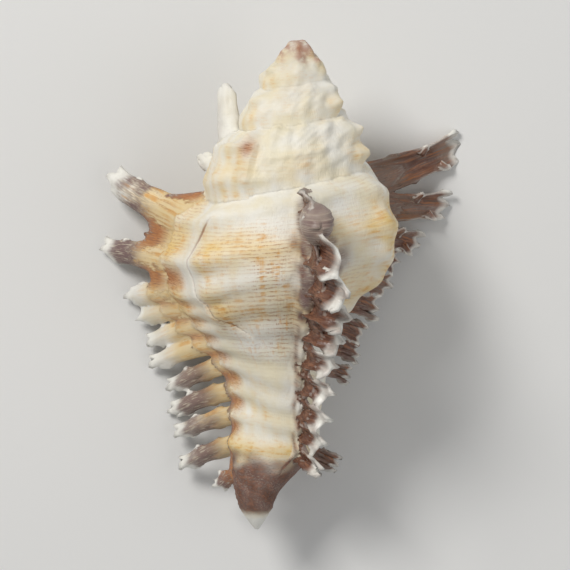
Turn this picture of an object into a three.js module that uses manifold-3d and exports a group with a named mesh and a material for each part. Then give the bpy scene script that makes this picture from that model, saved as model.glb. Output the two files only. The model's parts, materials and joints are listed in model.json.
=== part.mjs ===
// A right-handed murex shell with three varices to a turn, lying on its aperture side. Millimetres, +Z up.
// It grew as one piece, so it is one mesh: the coil, a trough-shaped frond on each cord of every varix,
// and the chamber behind the aperture cut out of it.
//
// Coil frame: +Y runs along the coil axis towards the apex, +Z is the shell's back, +X its right side as its
// back is seen. Depth is measured down the axis from the point where the growth lines would all meet.
// A turn is counted from the lip: 0 at the lip, -1 one whole turn before it.

import * as THREE from "three";
import { mergeVertices } from "three/addons/utils/BufferGeometryUtils.js";
import Module from "manifold-3d";

const wasm = await Module();
wasm.setup();
const degrees = Math.PI / 180;

// Driving dimensions of the coil
const turnWidth = 1.52; // a turn is this many times wider than the one before it
const turnDrop = 1.57; // and lies this many times deeper
const fullWidthTurn = -0.4; // the coil stops growing wider here
const widthEase = 0.1; // over about this many turns
const lipAngle = 200; // where growth stopped, in degrees round the axis from +X towards +Z
const varixTurn = 119 / 360; // turns from one varix to the next
const wornTip = 2.9; // depth at which the apex is broken off
const tipDepth = 93.2; // depth of the end of the canal
const whorls = 6;

// Section of the last whorl, from the suture over the shoulder and periphery down to the end of the canal:
// [distance from the axis, depth, share of the last turn's drop that it skips, share slimmer half a turn back]
const section = [
  [10.8, 32.0, 0, 0],
  [14.4, 33.8, 0, 0],
  [15.8, 38.0, 0.03, 0],
  [17.8, 43.0, 0.1, 0],
  [18.6, 47.5, 0.2, 0],
  [17.4, 51.8, 0.36, 0.02],
  [14.2, 56.0, 0.6, 0.18],
  [11.0, 61.0, 0.8, 0.28],
  [8.6, 67.0, 1, 0.28],
  [7.0, 73.5, 1, 0.2],
  [5.6, 79.5, 1, 0.1],
  [4.3, 84.5, 1, 0],
  [3.0, 89.2, 1, 0],
  [0.2, tipDepth, 1, 0],
];
const keptTurn = 0.85; // the skipped drop counts over this much of the last turn

// The coil swells into each varix, and less into a knob half-way between two of them
const varixSwell = 0.15;
const lipSwell = 0.17;
const varixRise = 0.085; // turns over which it swells
const varixFall = 0.022; // turns over which it drops back after the varix
const varixKept = [1, 1, 1, 0.9, 0.05, 0.6, 0.3, 0.05, 0.3]; // how much is left of each varix, lip first
const knobSwell = 0.07;
const knobTurn = 0.06;
// Shares of the way down the section over which the swellings begin and end
const varixTop = [0.02, 0.12];
const varixBottom = [0.6, 0.85];
const knobTop = [0.04, 0.16];
const knobBottom = [0.25, 0.5];

// The coil narrows faster than it grows near the worn apex
const taperFrom = 2.2;
const taperOver = 2.2;
const apexLean = 1.2; // and its end leans this far to the right
const apexLeanTo = 30;

// The canal bends to the left between these depths, lower down where an older canal still stands beside it
const canalBend = -6.3;
const canalBendFrom = [66, 77];
const canalBendTo = [86, 88];
const canalLift = 3.5; // its end turns up
const canalLiftFrom = 66;

// The chamber's section at the lip, from its top round the outer wall to the columella: [distance, depth]
const chamber = [
  [9.5, 36.5],
  [14.8, 40.0],
  [17.6, 46.5],
  [16.6, 52.0],
  [12.6, 57.5],
  [8.0, 62.5],
  [4.6, 68.0],
  [2.8, 66.0],
  [4.4, 56.0],
  [5.4, 46.0],
];
const chamberTurn = 0.55; // how far back it runs
const chamberEnd = 0.3; // its size there
const chamberSkip = 0.45;
const chamberMiddle = [8.6, 50];
const chamberAhead = 0.03; // how far past the lip the cut starts, in turns

// Fronds from the top cord of a varix to its bottom one: [depth at the lip, out, ahead, up, width, tip width].
// Out is away from the axis, ahead is the way the shell grew, up is towards the apex.
const lipFronds = [
  [38.2, 14.8, 6.0, 5.9, 7.5, 4.6],
  [45.3, 13.4, 6.0, -0.2, 6.4, 4.0],
  [51.0, 10.5, 6.0, -3.0, 5.0, 3.4],
  [53.8, 10.5, 6.0, -4.0, 4.4, 3.2],
  [56.6, 11.0, 6.0, -5.6, 4.2, 3.0],
  [59.8, 13.2, 5.5, -6.4, 4.0, 3.0],
  [63.4, 12.3, 6.0, -7.0, 3.8, 2.8],
  [68.0, 14.2, 6.4, -7.0, 3.8, 3.0],
  [72.4, 13.0, 5.0, -6.1, 3.6, 2.8],
  [77.4, 11.5, 4.5, -6.6, 3.6, 2.8],
  [82.4, 4.2, 3.0, -4.4, 3.4, 2.2],
];
const middleFronds = [
  [35.4, 7.0, 3.4, 0.6, 4.8, 3.8],
  [43.0, 9.0, 1.6, -1.0, 7.4, 6.6],
  [48.2, 8.5, -0.5, -1.5, 6.2, 5.6],
  [52.8, 7.8, -2.0, -1.5, 5.4, 4.8],
  [56.8, 7.0, -2.4, -1.5, 5.0, 4.4],
  [61.0, 6.5, -2.0, -1.5, 4.8, 4.0],
  [65.0, 6.0, -1.5, -1.5, 4.8, 4.0],
  [69.2, 6.0, -1.0, -1.5, 4.6, 3.8],
  [73.4, 5.5, -1.0, -2.0, 4.2, 3.4],
  [77.6, 5.0, -1.0, -2.5, 3.8, 3.0],
];
const rightFronds = [
  [41.6, 19.0, 3.0, 4.6, 7.6, 6.2],
  [46.6, 14.2, 4.0, -0.8, 6.2, 5.4],
  [50.4, 10.2, 2.4, -3.0, 4.8, 4.8],
  [53.0, 8.0, 2.0, -1.9, 4.2, 4.2],
  [55.2, 9.0, 2.0, -2.9, 4.0, 4.2],
  [57.6, 8.4, 1.8, -3.0, 4.0, 4.2],
  [60.0, 7.2, 1.4, -3.7, 3.8, 3.8],
  [62.4, 7.2, 1.3, -3.4, 3.6, 3.4],
  [64.8, 5.8, 1.0, -3.2, 3.6, 3.0],
  [79.0, 7.0, 1.3, -4.1, 4.4, 3.0],
];
const spireFronds = [
  [
    [37.5, -0.4, 3.0, 10.5, 4.8, 3.0],
    [43.0, 2.0, 2.0, 2.0, 4.0, 2.6],
  ],
  [],
  [
    [44.5, 5.0, 0.5, 1.0, 3.6, 2.0],
    [49.0, 5.8, 0.5, 0.4, 3.6, 2.0],
    [52.5, 4.6, 0.5, 0.2, 3.2, 1.8],
  ],
];

// The stub near the top of the middle varix: [depth at the lip, out, ahead, half sizes out, ahead and up]
const stub = [38.2, 5.2, -0.6, 4.6, 3.1, 3.5];
const stubSides = [10, 8];

const frondWall = 1.1;
const frondRoot = 3.0; // how deep a frond is rooted in its varix
const troughArc = 75 * degrees; // a trough turns up by this much each side of its middle
const troughRise = 0.8; // depth of a trough against its half-width
const troughSink = 0.35; // how far its middle line lies inside it, against its half-width
const frondBow = 0.2; // how much of its bend a frond leaves to its outer half
const tipWall = 0.7; // how thick its wall is at the tip, against its root
const widthEasing = 0.8; // below 1, a frond narrows sooner than evenly

// The shell lies on its aperture side, on one frond of the right varix and two of the lip: turned by this much
const restRoll = 0.34 * degrees;
const restPitch = 8.33 * degrees;

const smooth = THREE.MathUtils.smoothstep;
const clamp = THREE.MathUtils.clamp;
const lerp = THREE.MathUtils.lerp;
const widthAt = (turn) =>
  turnWidth ** (-widthEase * Math.log1p(Math.exp((fullWidthTurn - turn) / widthEase)));
const angleAt = (turn) => (lipAngle + 360 * turn) * degrees;

// How deep a part of the section lay at that turn, when it skips a share of the last turn's drop
const depthAt = (depth, turn, skip) => depth * turnDrop ** (turn + skip * Math.min(-turn, keptTurn));

// How much wider the coil is near a varix or a knob, at a share of the way down the section
function swellAt(turn, down) {
  const stage = Math.max(Math.floor((varixFall - turn) / varixTurn), 0);
  const varix = -stage * varixTurn;
  const rise = clamp((turn - varix) / varixRise + 1, 0, 1) ** 2;
  const near = turn < varix ? rise : 1 - smooth(turn, varix, varix + varixFall);
  const full = (stage === 0 ? varixSwell + lipSwell : varixSwell) * (varixKept[stage] ?? varixKept.at(-1));
  const knob = Math.exp(-(((turn - varix + varixTurn / 2) / knobTurn) ** 2));
  const reach = smooth(down, ...varixTop) * (1 - smooth(down, ...varixBottom));
  const knobReach = smooth(down, ...knobTop) * (1 - smooth(down, ...knobBottom));
  return 1 + full * near * reach + knobSwell * knob * knobReach;
}

// The outline of one whorl at that turn, as a list of points from its suture down to the end of the canal
function outlineAt(turn) {
  const placed = section.map(([width, depth, skip, slim]) => {
    const slimmer = 1 - slim * smooth(-turn, 0, 0.5);
    return new THREE.Vector2(width * slimmer * widthAt(turn), depthAt(depth, turn, skip));
  });
  const points = new THREE.SplineCurve(placed).getPoints(4 * section.length);
  points.forEach((point, i) => {
    point.x *= swellAt(turn, i / (points.length - 1));
  });
  return points;
}

// The coil's outer distance from its axis at a depth, past the whorls that are seen from outside
function outerAt(outlines, depth) {
  let outer = 0;
  for (const points of outlines) {
    const after = points.findIndex((point) => point.y >= depth);
    if (after > 0) {
      const share = (depth - points[after - 1].y) / (points[after].y - points[after - 1].y);
      outer = Math.max(outer, lerp(points[after - 1].x, points[after].x, share));
    }
  }
  return outer;
}

// Where a point of the coil is
function place(distance, depth, turn) {
  const back = -turn % 1;
  const older = smooth(back, 0.05, 0.3) * (1 - smooth(back, 0.6, 0.8));
  const bend = smooth(depth, lerp(...canalBendFrom, older), lerp(...canalBendTo, older));
  const lift = Math.max(0, (depth - canalLiftFrom) / (tipDepth - canalLiftFrom)) ** 2;
  const taper = 1 - Math.exp((taperFrom - depth) / taperOver);
  const lean = apexLean * (1 - smooth(depth, 0, apexLeanTo));
  const angle = angleAt(turn);
  return new THREE.Vector3(
    distance * taper * Math.cos(angle) + canalBend * bend + lean,
    -depth,
    distance * taper * Math.sin(angle) + canalLift * lift,
  );
}

// The solid of a closed geometry, with each vertex moved to shape(vertex)
function solidOf(geometry, shape) {
  geometry.deleteAttribute("normal");
  geometry.deleteAttribute("uv");
  const merged = mergeVertices(geometry);
  const positions = merged.getAttribute("position");
  const vertex = new THREE.Vector3();
  for (let i = 0; i < positions.count; i++) {
    vertex.fromBufferAttribute(positions, i);
    const moved = shape(vertex);
    positions.setXYZ(i, moved.x, moved.y, moved.z);
  }
  const mesh = new wasm.Mesh({
    numProp: 3,
    vertProperties: new Float32Array(positions.array),
    triVerts: new Uint32Array(merged.index.array),
  });
  return new wasm.Manifold(mesh);
}

// The coil: a cylinder whose rows are depths and whose columns are turns. The lip is the step where they meet.
const coilColumns = 36;
const coilRows = 54;
const lipStep = 0.004; // turns taken by the face of the lip

function coilSolid() {
  const cylinder = new THREE.CylinderGeometry(1, 1, 1, coilColumns, coilRows);
  const outlines = new Map();
  return solidOf(cylinder, (vertex) => {
    const column = Math.round(((Math.atan2(vertex.z, vertex.x) / (2 * Math.PI) + 1) % 1) * coilColumns);
    const share = (column % coilColumns) / (coilColumns - 1);
    const turn = lerp(-1 + lipStep, 0, share);
    if (!outlines.has(column)) {
      outlines.set(column, Array.from({ length: whorls }, (_, whorl) => outlineAt(turn - whorl)));
    }
    const down = 0.5 - vertex.y;
    const depth = lerp(wornTip, tipDepth - 0.2, down);
    const onAxis = Math.hypot(vertex.x, vertex.z) < 0.5;
    return place(onAxis ? 0 : Math.max(outerAt(outlines.get(column), depth), 0.2), depth, turn);
  });
}

// The chamber: a cylinder bent along the coil, from just outside the lip back to where it is small
function chamberSolid() {
  const cylinder = new THREE.CylinderGeometry(1, 1, 1, 16, 14);
  const loop = new THREE.SplineCurve([...chamber, chamber[0]].map(([x, y]) => new THREE.Vector2(x, y)));
  const middle = new THREE.Vector2(...chamberMiddle);
  return solidOf(cylinder, (vertex) => {
    const back = 0.5 - vertex.y;
    const turn = lerp(chamberAhead, -chamberTurn, back);
    const size = lerp(1, chamberEnd, back);
    const onAxis = Math.hypot(vertex.x, vertex.z) < 0.5;
    const round = (Math.atan2(vertex.z, vertex.x) / (2 * Math.PI) + 1) % 1;
    const point = onAxis ? middle.clone() : loop.getPoint(round);
    point.sub(middle).multiplyScalar(size).add(middle);
    const before = Math.min(turn, 0);
    return place(point.x * widthAt(before), depthAt(point.y, before, chamberSkip), turn);
  });
}

// The ways out, ahead and up at a varix, and the point on it at a depth
function frameAt(varix, lipDepth) {
  const turn = -varix * varixTurn;
  const outline = outlineAt(turn);
  const spot = outline[outlineAt(0).findIndex((point) => point.y >= lipDepth)];
  const outward = new THREE.Vector3(Math.cos(angleAt(turn)), 0, Math.sin(angleAt(turn)));
  const forward = new THREE.Vector3(-outward.z, 0, outward.x);
  const apexward = new THREE.Vector3(0, 1, 0);
  return { base: place(spot.x, spot.y, turn), outward, forward, apexward };
}

// A frond on a varix: a box bent into a trough that is open ahead, the way the shell grew
function frondSolid(varix, [lipDepth, out, ahead, up, width, tipWidth]) {
  const { base, outward, forward, apexward } = frameAt(varix, lipDepth);
  const root = base.clone().addScaledVector(outward, -frondRoot * widthAt(-varix * varixTurn));
  const tip = base.clone().addScaledVector(outward, out).addScaledVector(forward, ahead);
  tip.addScaledVector(apexward, up);
  const bow = root.clone().lerp(tip, 0.5);
  bow.addScaledVector(forward, -frondBow * ahead).addScaledVector(apexward, -frondBow * up);
  const line = new THREE.QuadraticBezierCurve3(root, bow, tip);
  const box = new THREE.BoxGeometry(2, 1, 1, 3, 1, 3);
  return solidOf(box, (vertex) => {
    const along = vertex.z + 0.5;
    const tangent = line.getTangent(along);
    const across = new THREE.Vector3().crossVectors(tangent, forward).normalize();
    const back = new THREE.Vector3().crossVectors(tangent, across).normalize();
    const half = 0.5 * lerp(width, tipWidth, along ** widthEasing);
    const inset = vertex.y > 0 ? 0 : frondWall * lerp(1, tipWall, along);
    const arc = vertex.x * troughArc;
    const point = line.getPoint(along);
    point.addScaledVector(across, half * Math.sin(arc));
    return point.addScaledVector(back, (half * Math.cos(arc) - inset) * troughRise - troughSink * half);
  });
}

function stubSolid() {
  const [lipDepth, out, ahead, halfOut, halfAhead, halfUp] = stub;
  const { base, outward, forward, apexward } = frameAt(1, lipDepth);
  const ball = new THREE.SphereGeometry(1, ...stubSides);
  return solidOf(ball, (vertex) => {
    const point = base.clone().addScaledVector(outward, out + halfOut * vertex.y);
    point.addScaledVector(forward, ahead + halfAhead * vertex.z);
    return point.addScaledVector(apexward, halfUp * vertex.x);
  });
}

function shellMesh() {
  const fronds = [lipFronds, middleFronds, rightFronds, ...spireFronds];
  let solid = coilSolid().add(stubSolid());
  fronds.forEach((list, varix) => {
    list.forEach((frond) => {
      solid = solid.add(frondSolid(varix, frond));
    });
  });
  solid = solid.subtract(chamberSolid());
  // Gaps sealed in between fronds are filled: only the largest surface, the outer one, is kept
  const surfaces = solid.decompose();
  solid = surfaces.reduce((largest, surface) => (surface.volume() > largest.volume() ? surface : largest));
  const made = solid.getMesh();
  const geometry = new THREE.BufferGeometry();
  geometry.setAttribute("position", new THREE.BufferAttribute(new Float32Array(made.vertProperties), 3));
  geometry.setIndex(new THREE.BufferAttribute(new Uint32Array(made.triVerts), 1));
  geometry.rotateY(restRoll);
  geometry.rotateX(restPitch);
  geometry.computeBoundingBox();
  const box = geometry.boundingBox;
  const middle = box.getCenter(new THREE.Vector3());
  geometry.translate(-middle.x, -middle.y, -box.min.z);
  const shellMaterial = new THREE.MeshStandardMaterial({ color: 0xe8dcc0, roughness: 0.55, metalness: 0 });
  const mesh = new THREE.Mesh(geometry, shellMaterial);
  mesh.name = "shell";
  return mesh;
}

const murex = new THREE.Group();
murex.add(shellMesh());
export default murex;
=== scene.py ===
# A murex shell lying on its aperture side, on a pale floor.
import json
import math
import bpy
import numpy as np
from mathutils import Matrix, Vector, kdtree

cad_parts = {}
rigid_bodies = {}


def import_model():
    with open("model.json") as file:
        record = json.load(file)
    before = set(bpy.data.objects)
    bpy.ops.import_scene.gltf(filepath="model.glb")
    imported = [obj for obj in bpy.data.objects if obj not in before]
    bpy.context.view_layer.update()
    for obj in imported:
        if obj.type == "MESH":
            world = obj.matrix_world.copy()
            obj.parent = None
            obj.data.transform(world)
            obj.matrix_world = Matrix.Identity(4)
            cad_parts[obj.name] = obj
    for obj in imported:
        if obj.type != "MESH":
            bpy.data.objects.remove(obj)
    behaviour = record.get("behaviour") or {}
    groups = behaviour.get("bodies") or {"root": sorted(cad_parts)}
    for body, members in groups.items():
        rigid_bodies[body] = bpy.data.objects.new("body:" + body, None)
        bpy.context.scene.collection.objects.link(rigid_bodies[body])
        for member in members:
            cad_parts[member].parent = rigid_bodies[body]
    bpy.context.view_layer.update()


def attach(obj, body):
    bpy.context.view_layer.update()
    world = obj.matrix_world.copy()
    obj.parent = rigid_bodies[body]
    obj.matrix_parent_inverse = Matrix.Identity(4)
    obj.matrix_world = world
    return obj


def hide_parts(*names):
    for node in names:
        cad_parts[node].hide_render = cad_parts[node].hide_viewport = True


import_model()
mm = 0.001
print("frame loaded")

# The coil: what grows, in millimetres, and turns counted back from the lip.
# Coil frame: +Y along the coil axis to the apex, +Z the back, +X the right. Depth is measured down the axis.
coil = {
    "turnWidth": 1.52, "turnDrop": 1.57, "fullWidthTurn": -0.4, "widthEase": 0.1,
    "lipAngle": 200, "varixTurn": 119 / 360, "wornTip": 2.9, "blunt": (4.3, 0.3), "tipDepth": 93.2,
    "keptTurn": 0.85,
    # distance from the axis, depth, share of the last turn's drop skipped, share slimmer half a turn back
    "section": [
        (10.6, 32.4, 0, 0), (14.4, 34.2, 0, 0), (16.4, 38.0, 0.03, 0), (18.2, 42.8, 0.1, 0),
        (18.6, 47.0, 0.2, 0), (17.2, 51.4, 0.36, 0.02), (14.2, 56.0, 0.6, 0.18), (11.0, 61.0, 0.8, 0.28),
        (8.6, 67.0, 1, 0.28), (7.0, 73.5, 1, 0.2), (5.6, 79.5, 1, 0.1), (4.3, 84.5, 1, 0),
        (3.0, 89.2, 1, 0), (0.2, 93.2, 1, 0),
    ],
    "varixSwell": 0.15, "lipSwell": 0.17, "varixRise": 0.085, "varixFall": 0.022,
    "knobSwell": 0.07, "knobTurn": 0.06,
    "varixKept": [1, 1, 1, 0.9, 0.05, 0.6, 0.3, 0.05, 0.3],  # how much is left of each varix, lip first
    "taperFrom": 2.2, "taperOver": 2.2, "apexLean": 1.2, "apexLeanTo": 30,
    "canalBend": -6.3, "canalBendFrom": (66, 77), "canalBendTo": (86, 88),
    "canalLift": 3.5, "canalLiftFrom": 66,
    "roll": 0.45, "pitch": 8.38, "middle": (-1.1424, -47.6818, -25.7860),
}
lastPoint = len(coil["section"]) - 1


def smooth(low, high, value):
    share = np.clip((value - low) / (high - low), 0, 1)
    return share * share * (3 - 2 * share)


def bell(value, width):
    return np.exp(-((value / width) ** 2))


def mixed(first, second, share):
    return first + (second - first) * share


def lumps(points, size, seed, count=9):  # soft even noise from -1 to 1, with features about this big
    own = np.random.default_rng(seed)
    ways = own.normal(size=(count, 3))
    ways *= (own.uniform(0.6, 1.5, count) * 2 * math.pi / size / np.linalg.norm(ways, axis=1))[:, None]
    waves = np.sin(points @ ways.T + own.uniform(0, 2 * math.pi, count))
    return waves.sum(-1) / math.sqrt(count) * 0.8


def widthAt(turn):
    ease = coil["widthEase"]
    return coil["turnWidth"] ** (-ease * np.log1p(np.exp((coil["fullWidthTurn"] - turn) / ease)))


def angleAt(turn):
    return np.radians(coil["lipAngle"] + 360 * turn)


def sectionAt(place):  # the section's values at a place along it, 0 to lastPoint, on one smooth curve
    table = np.array(coil["section"], float)
    first = np.clip(np.floor(place).astype(int), 0, lastPoint - 1)
    t = (place - first)[..., None]
    a, b, c, d = (table[np.clip(first + step, 0, lastPoint)] for step in (-1, 0, 1, 2))
    return 0.5 * (2 * b + (c - a) * t + (2 * a - 5 * b + 4 * c - d) * t**2 + (3 * b - a - 3 * c + d) * t**3)


def varixAt(turn):  # how near the shell is to a varix, 0 to 1, and which one
    step, fall = coil["varixTurn"], coil["varixFall"]
    stage = np.maximum(np.floor((fall - turn) / step), 0)
    varix = -stage * step
    rise = np.clip((turn - varix) / coil["varixRise"] + 1, 0, 1) ** 2
    kept = np.array(coil["varixKept"])[np.minimum(stage, len(coil["varixKept"]) - 1).astype(int)]
    return np.where(turn <= varix, rise, 1 - smooth(varix, varix + fall, turn)) * kept, stage


def swellAt(turn, down):
    near, stage = varixAt(turn)
    full = np.where(stage == 0, coil["varixSwell"] + coil["lipSwell"], coil["varixSwell"])
    middle = -(stage + 0.5) * coil["varixTurn"]
    knob = bell(turn - middle, coil["knobTurn"])
    reach = smooth(0.02, 0.12, down) * (1 - smooth(0.6, 0.85, down))
    knobReach = smooth(0.04, 0.16, down) * (1 - smooth(0.25, 0.5, down))
    return 1 + full * near * reach + coil["knobSwell"] * knob * knobReach


def outlineAt(place, turn):  # distance from the axis and depth
    width, depth, skip, slim = np.moveaxis(sectionAt(place), -1, 0)
    slimmer = 1 - slim * smooth(0, 0.5, -turn)
    distance = width * slimmer * widthAt(turn) * swellAt(turn, place / lastPoint)
    return distance, depth * coil["turnDrop"] ** (turn + skip * np.minimum(-turn, coil["keptTurn"]))


def placed(distance, depth, turn):  # a point of the coil, in the coil frame
    worn, edge = coil["blunt"]
    depth = worn + edge * np.logaddexp(0, (depth - worn) / edge)
    back = np.mod(-turn, 1)
    older = smooth(0.05, 0.3, back) * (1 - smooth(0.6, 0.8, back))
    bend = smooth(mixed(*coil["canalBendFrom"], older), mixed(*coil["canalBendTo"], older), depth)
    lift = np.clip((depth - coil["canalLiftFrom"]) / (coil["tipDepth"] - coil["canalLiftFrom"]), 0, None) ** 2
    taper = 1 - np.exp((coil["taperFrom"] - np.maximum(depth, coil["taperFrom"] + 0.1)) / coil["taperOver"])
    lean = coil["apexLean"] * (1 - smooth(0, coil["apexLeanTo"], depth))
    angle = angleAt(turn)
    return np.stack([
        distance * taper * np.cos(angle) + coil["canalBend"] * bend + lean,
        -depth,
        distance * taper * np.sin(angle) + coil["canalLift"] * lift,
    ], -1)


restTurn = Matrix.Rotation(math.radians(coil["pitch"]), 3, "X") @ Matrix.Rotation(
    math.radians(coil["roll"]), 3, "Y")
restMatrix = np.array(restTurn)


def atRest(points):  # from the coil frame in millimetres to the row's frame in metres
    return (points @ restMatrix.T - np.array(coil["middle"])) * mm


# Fronds, from the top cord of a varix down: depth at the lip, out, ahead, up, width, tip width.
fronds = {
    "varices": [
        [
            (38.2, 14.8, 6.0, 5.9, 8.2, 5.2), (45.3, 13.4, 6.0, -0.2, 6.4, 4.0),
            (51.0, 10.5, 6.0, -3.0, 5.0, 3.4), (53.8, 10.5, 6.0, -4.0, 4.4, 3.2),
            (56.6, 11.0, 6.0, -5.6, 4.2, 3.0), (59.8, 13.2, 5.5, -6.4, 4.0, 3.0),
            (63.4, 12.3, 6.0, -7.0, 3.8, 2.8), (68.0, 14.2, 6.4, -7.0, 3.8, 3.0),
            (72.4, 13.0, 5.0, -6.1, 3.6, 2.8), (77.4, 11.5, 4.5, -6.6, 3.6, 2.8),
            (82.4, 4.2, 3.0, -4.4, 3.4, 2.2),
        ],
        [
            (35.4, 7.0, 3.4, 0.6, 4.8, 3.8), (43.0, 9.0, 1.6, -1.0, 7.4, 6.6),
            (48.2, 8.5, -0.5, -1.5, 6.2, 5.6), (52.8, 7.8, -2.0, -1.5, 5.4, 4.8),
            (56.8, 7.0, -2.4, -1.5, 5.0, 4.4), (61.0, 6.5, -2.0, -1.5, 4.8, 4.0),
            (65.0, 6.0, -1.5, -1.5, 4.8, 4.0), (69.2, 6.0, -1.0, -1.5, 4.6, 3.8),
            (73.4, 5.5, -1.0, -2.0, 4.2, 3.4), (77.6, 5.0, -1.0, -2.5, 3.8, 3.0),
        ],
        [
            (41.6, 19.0, 3.0, 4.6, 7.6, 6.2), (46.6, 14.2, 4.0, -0.8, 6.2, 5.4),
            (50.4, 10.2, 2.4, -3.0, 4.8, 4.8), (53.0, 8.0, 2.0, -1.9, 4.2, 4.2),
            (55.2, 9.0, 2.0, -2.9, 4.0, 4.2), (57.6, 8.4, 1.8, -3.0, 4.0, 4.2),
            (60.0, 7.2, 1.4, -3.7, 3.8, 3.8), (62.4, 7.2, 1.3, -3.4, 3.6, 3.4),
            (64.8, 5.8, 1.0, -3.2, 3.6, 3.0), (79.0, 7.0, 1.3, -4.1, 4.4, 3.0),
        ],
        [
            (37.5, -0.4, 3.0, 10.5, 4.8, 3.0), (43.0, 2.0, 2.0, 2.0, 4.0, 2.6),
        ],
        [],
        [
            (44.5, 5.0, 0.5, 1.0, 3.6, 2.0), (49.0, 5.8, 0.5, 0.4, 3.6, 2.0), (52.5, 4.6, 0.5, 0.2, 3.2, 1.8),
        ],
    ],
    "wall": 1.0, "root": 3.0, "arc": 78, "rise": 0.8, "sink": 0.35, "bow": 0.2,
    "across": 12, "along": 19,
}

# Relief: cords, knobs and growth steps on the coil, in millimetres.
# The band is a raised stretch: first and last turn, top, bottom, height.
relief = {
    "cordWidth": 1.35, "cordHeight": 0.34, "varixCordHeight": 1.5, "knobHeight": 1.2, "knobWidth": 2.0,
    "stepHeight": 0.4, "wearHeight": 0.34,
    # single bumps: turn, depth at the lip, height, length along the turn, width
    "bumps": [
        (-1.505, 39.3, 1.8, 0.030, 1.5), (-1.505, 44.6, 1.9, 0.030, 1.7), (-1.505, 49.0, 1.4, 0.028, 1.5),
        (-1.253, 33.8, 1.1, 0.018, 1.2), (-1.190, 35.0, 1.5, 0.018, 1.6), (-1.330, 40.4, 0.7, 0.110, 0.8),
        (-1.225, 45.2, 0.8, 0.030, 0.8), (-1.600, 41.0, 1.0, 0.030, 2.0), (-2.200, 42.0, 0.5, 0.030, 2.0),
        (-2.480, 43.0, 1.2, 0.035, 2.6), (-2.050, 44.0, 0.7, 0.030, 2.6), (-2.350, 40.0, 0.6, 0.030, 2.0),
        (-2.640, 41.0, 0.9, 0.030, 2.4), (-3.050, 42.0, 2.0, 0.050, 3.6), (-3.520, 43.0, 1.1, 0.040, 3.0),
        (-3.300, 40.0, 0.6, 0.040, 2.6), (-0.480, 46.5, 1.0, 0.018, 2.2), (-0.497, 51.5, 1.0, 0.018, 2.0),
        (-0.476, 42.0, 1.0, 0.018, 1.8), (-0.505, 56.5, 0.8, 0.020, 1.6), (-0.510, 61.0, 0.6, 0.020, 1.4),
    ],
    "band": (-1.217, -0.985, 36.8, 50.5, 1.0),
}


def cordsAt(turn):  # where each cord runs, as a depth at the lip, drifting from varix to varix
    lip, middle, right = (np.array([frond[0] for frond in fronds["varices"][k]][:10]) for k in range(3))
    back = np.mod(-turn, 1)
    toMiddle = smooth(0.08, 0.3, back)[..., None]
    toRight = smooth(0.4, 0.62, back)[..., None]
    cords = mixed(mixed(lip, middle, toMiddle), right, toRight)
    return mixed(cords, lip, smooth(0.72, 0.95, back)[..., None])


def stepTurn(girth):  # the turn at which the last growth step crosses that part of the section
    return -0.115 - 0.1 * np.clip((girth - 46) / 12, -1, 1) ** 2


def reliefAt(turn, girth, points):
    size = widthAt(turn)
    near, stage = varixAt(turn)
    wide = smooth(-0.16, 0, turn) * (stage == 0)
    strength = mixed(relief["cordHeight"], relief["varixCordHeight"], np.maximum(near, wide))
    strength = strength * (1 - 0.6 * smooth(0.9, 1.2, -turn))
    cords = cordsAt(turn)
    shape = bell(girth[..., None] - cords, relief["cordWidth"]).max(-1)
    fade = smooth(32.5, 34.5, girth) * (1 - smooth(84, 90, girth))
    height = strength * shape * fade
    knob = bell(turn + (stage + 0.5) * coil["varixTurn"], 0.04)
    nodules = bell(girth[..., None] - cords[..., :4], relief["knobWidth"]).max(-1)
    height = height + relief["knobHeight"] * knob * nodules * fade
    step = stepTurn(girth)
    lipBand = smooth(step, step + 0.006, turn) * (1 - smooth(58, 66, girth)) * smooth(36, 40, girth)
    height = height + relief["stepHeight"] * lipBand * (1 - smooth(-0.04, 0, turn))
    fineCords = np.sin(girth * 2 * math.pi / 1.3 + 0.8 * np.sin(turn * 40) + 1.2 * lumps(points, 14, 6))
    height = height + 0.05 * fineCords * fade * (0.6 + 0.4 * lumps(points, 8, 7))
    for at, girthAt, tall, long, wide in relief["bumps"]:
        height = height + tall * bell(turn - at, long) * bell(girth - girthAt, wide)
    start, finish, top, bottom, raised = relief["band"]
    height = height + raised * smooth(start - 0.003, start + 0.003, turn) * (
        1 - smooth(finish - 0.06, finish, turn)) * (
        smooth(top - 0.4, top + 0.6, girth) * (1 - smooth(bottom - 1, bottom, girth)))
    flutes = np.sin(girth * 2 * math.pi / 1.9 + turn * 55) * smooth(77, 81, girth) * (1 - smooth(88, 91, girth))
    height = height + 0.16 * flutes
    worn = smooth(0.75, 1.6, -turn)
    height = height + worn * (relief["wearHeight"] * lumps(points, 3.2, 3) + 0.12 * lumps(points, 1.4, 4))
    return height * mixed(size, 1, 0.35) + 0.05 * lumps(points, 5.0, 5)


# Mesh helpers.
marks = {"points": [], "values": []}  # what every vertex was before the parts are joined
markNames = ["turn", "girth", "kind", "along", "cross", "hollow", "rim"]


def deselectAll():
    for thing in bpy.data.objects:
        thing.select_set(False)


def choose(piece):  # selects this piece alone
    deselectAll()
    piece.select_set(True)
    bpy.context.view_layer.objects.active = piece


def newGrid(name, across, along):  # a flat grid, its rows along Y
    deselectAll()
    bpy.ops.mesh.primitive_grid_add(x_subdivisions=across, y_subdivisions=along, size=2)
    piece = bpy.context.object
    piece.name = name
    corners = np.zeros(len(piece.data.vertices) * 3)
    piece.data.vertices.foreach_get("co", corners)
    corners = corners.reshape(-1, 3)
    return piece, corners[:, 0] / 2 + 0.5, corners[:, 1] / 2 + 0.5


def setPoints(piece, points):
    piece.data.vertices.foreach_set("co", np.asarray(points, float).ravel())
    piece.data.update()


def getPoints(piece):
    points = np.zeros(len(piece.data.vertices) * 3)
    piece.data.vertices.foreach_get("co", points)
    return points.reshape(-1, 3)


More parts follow.
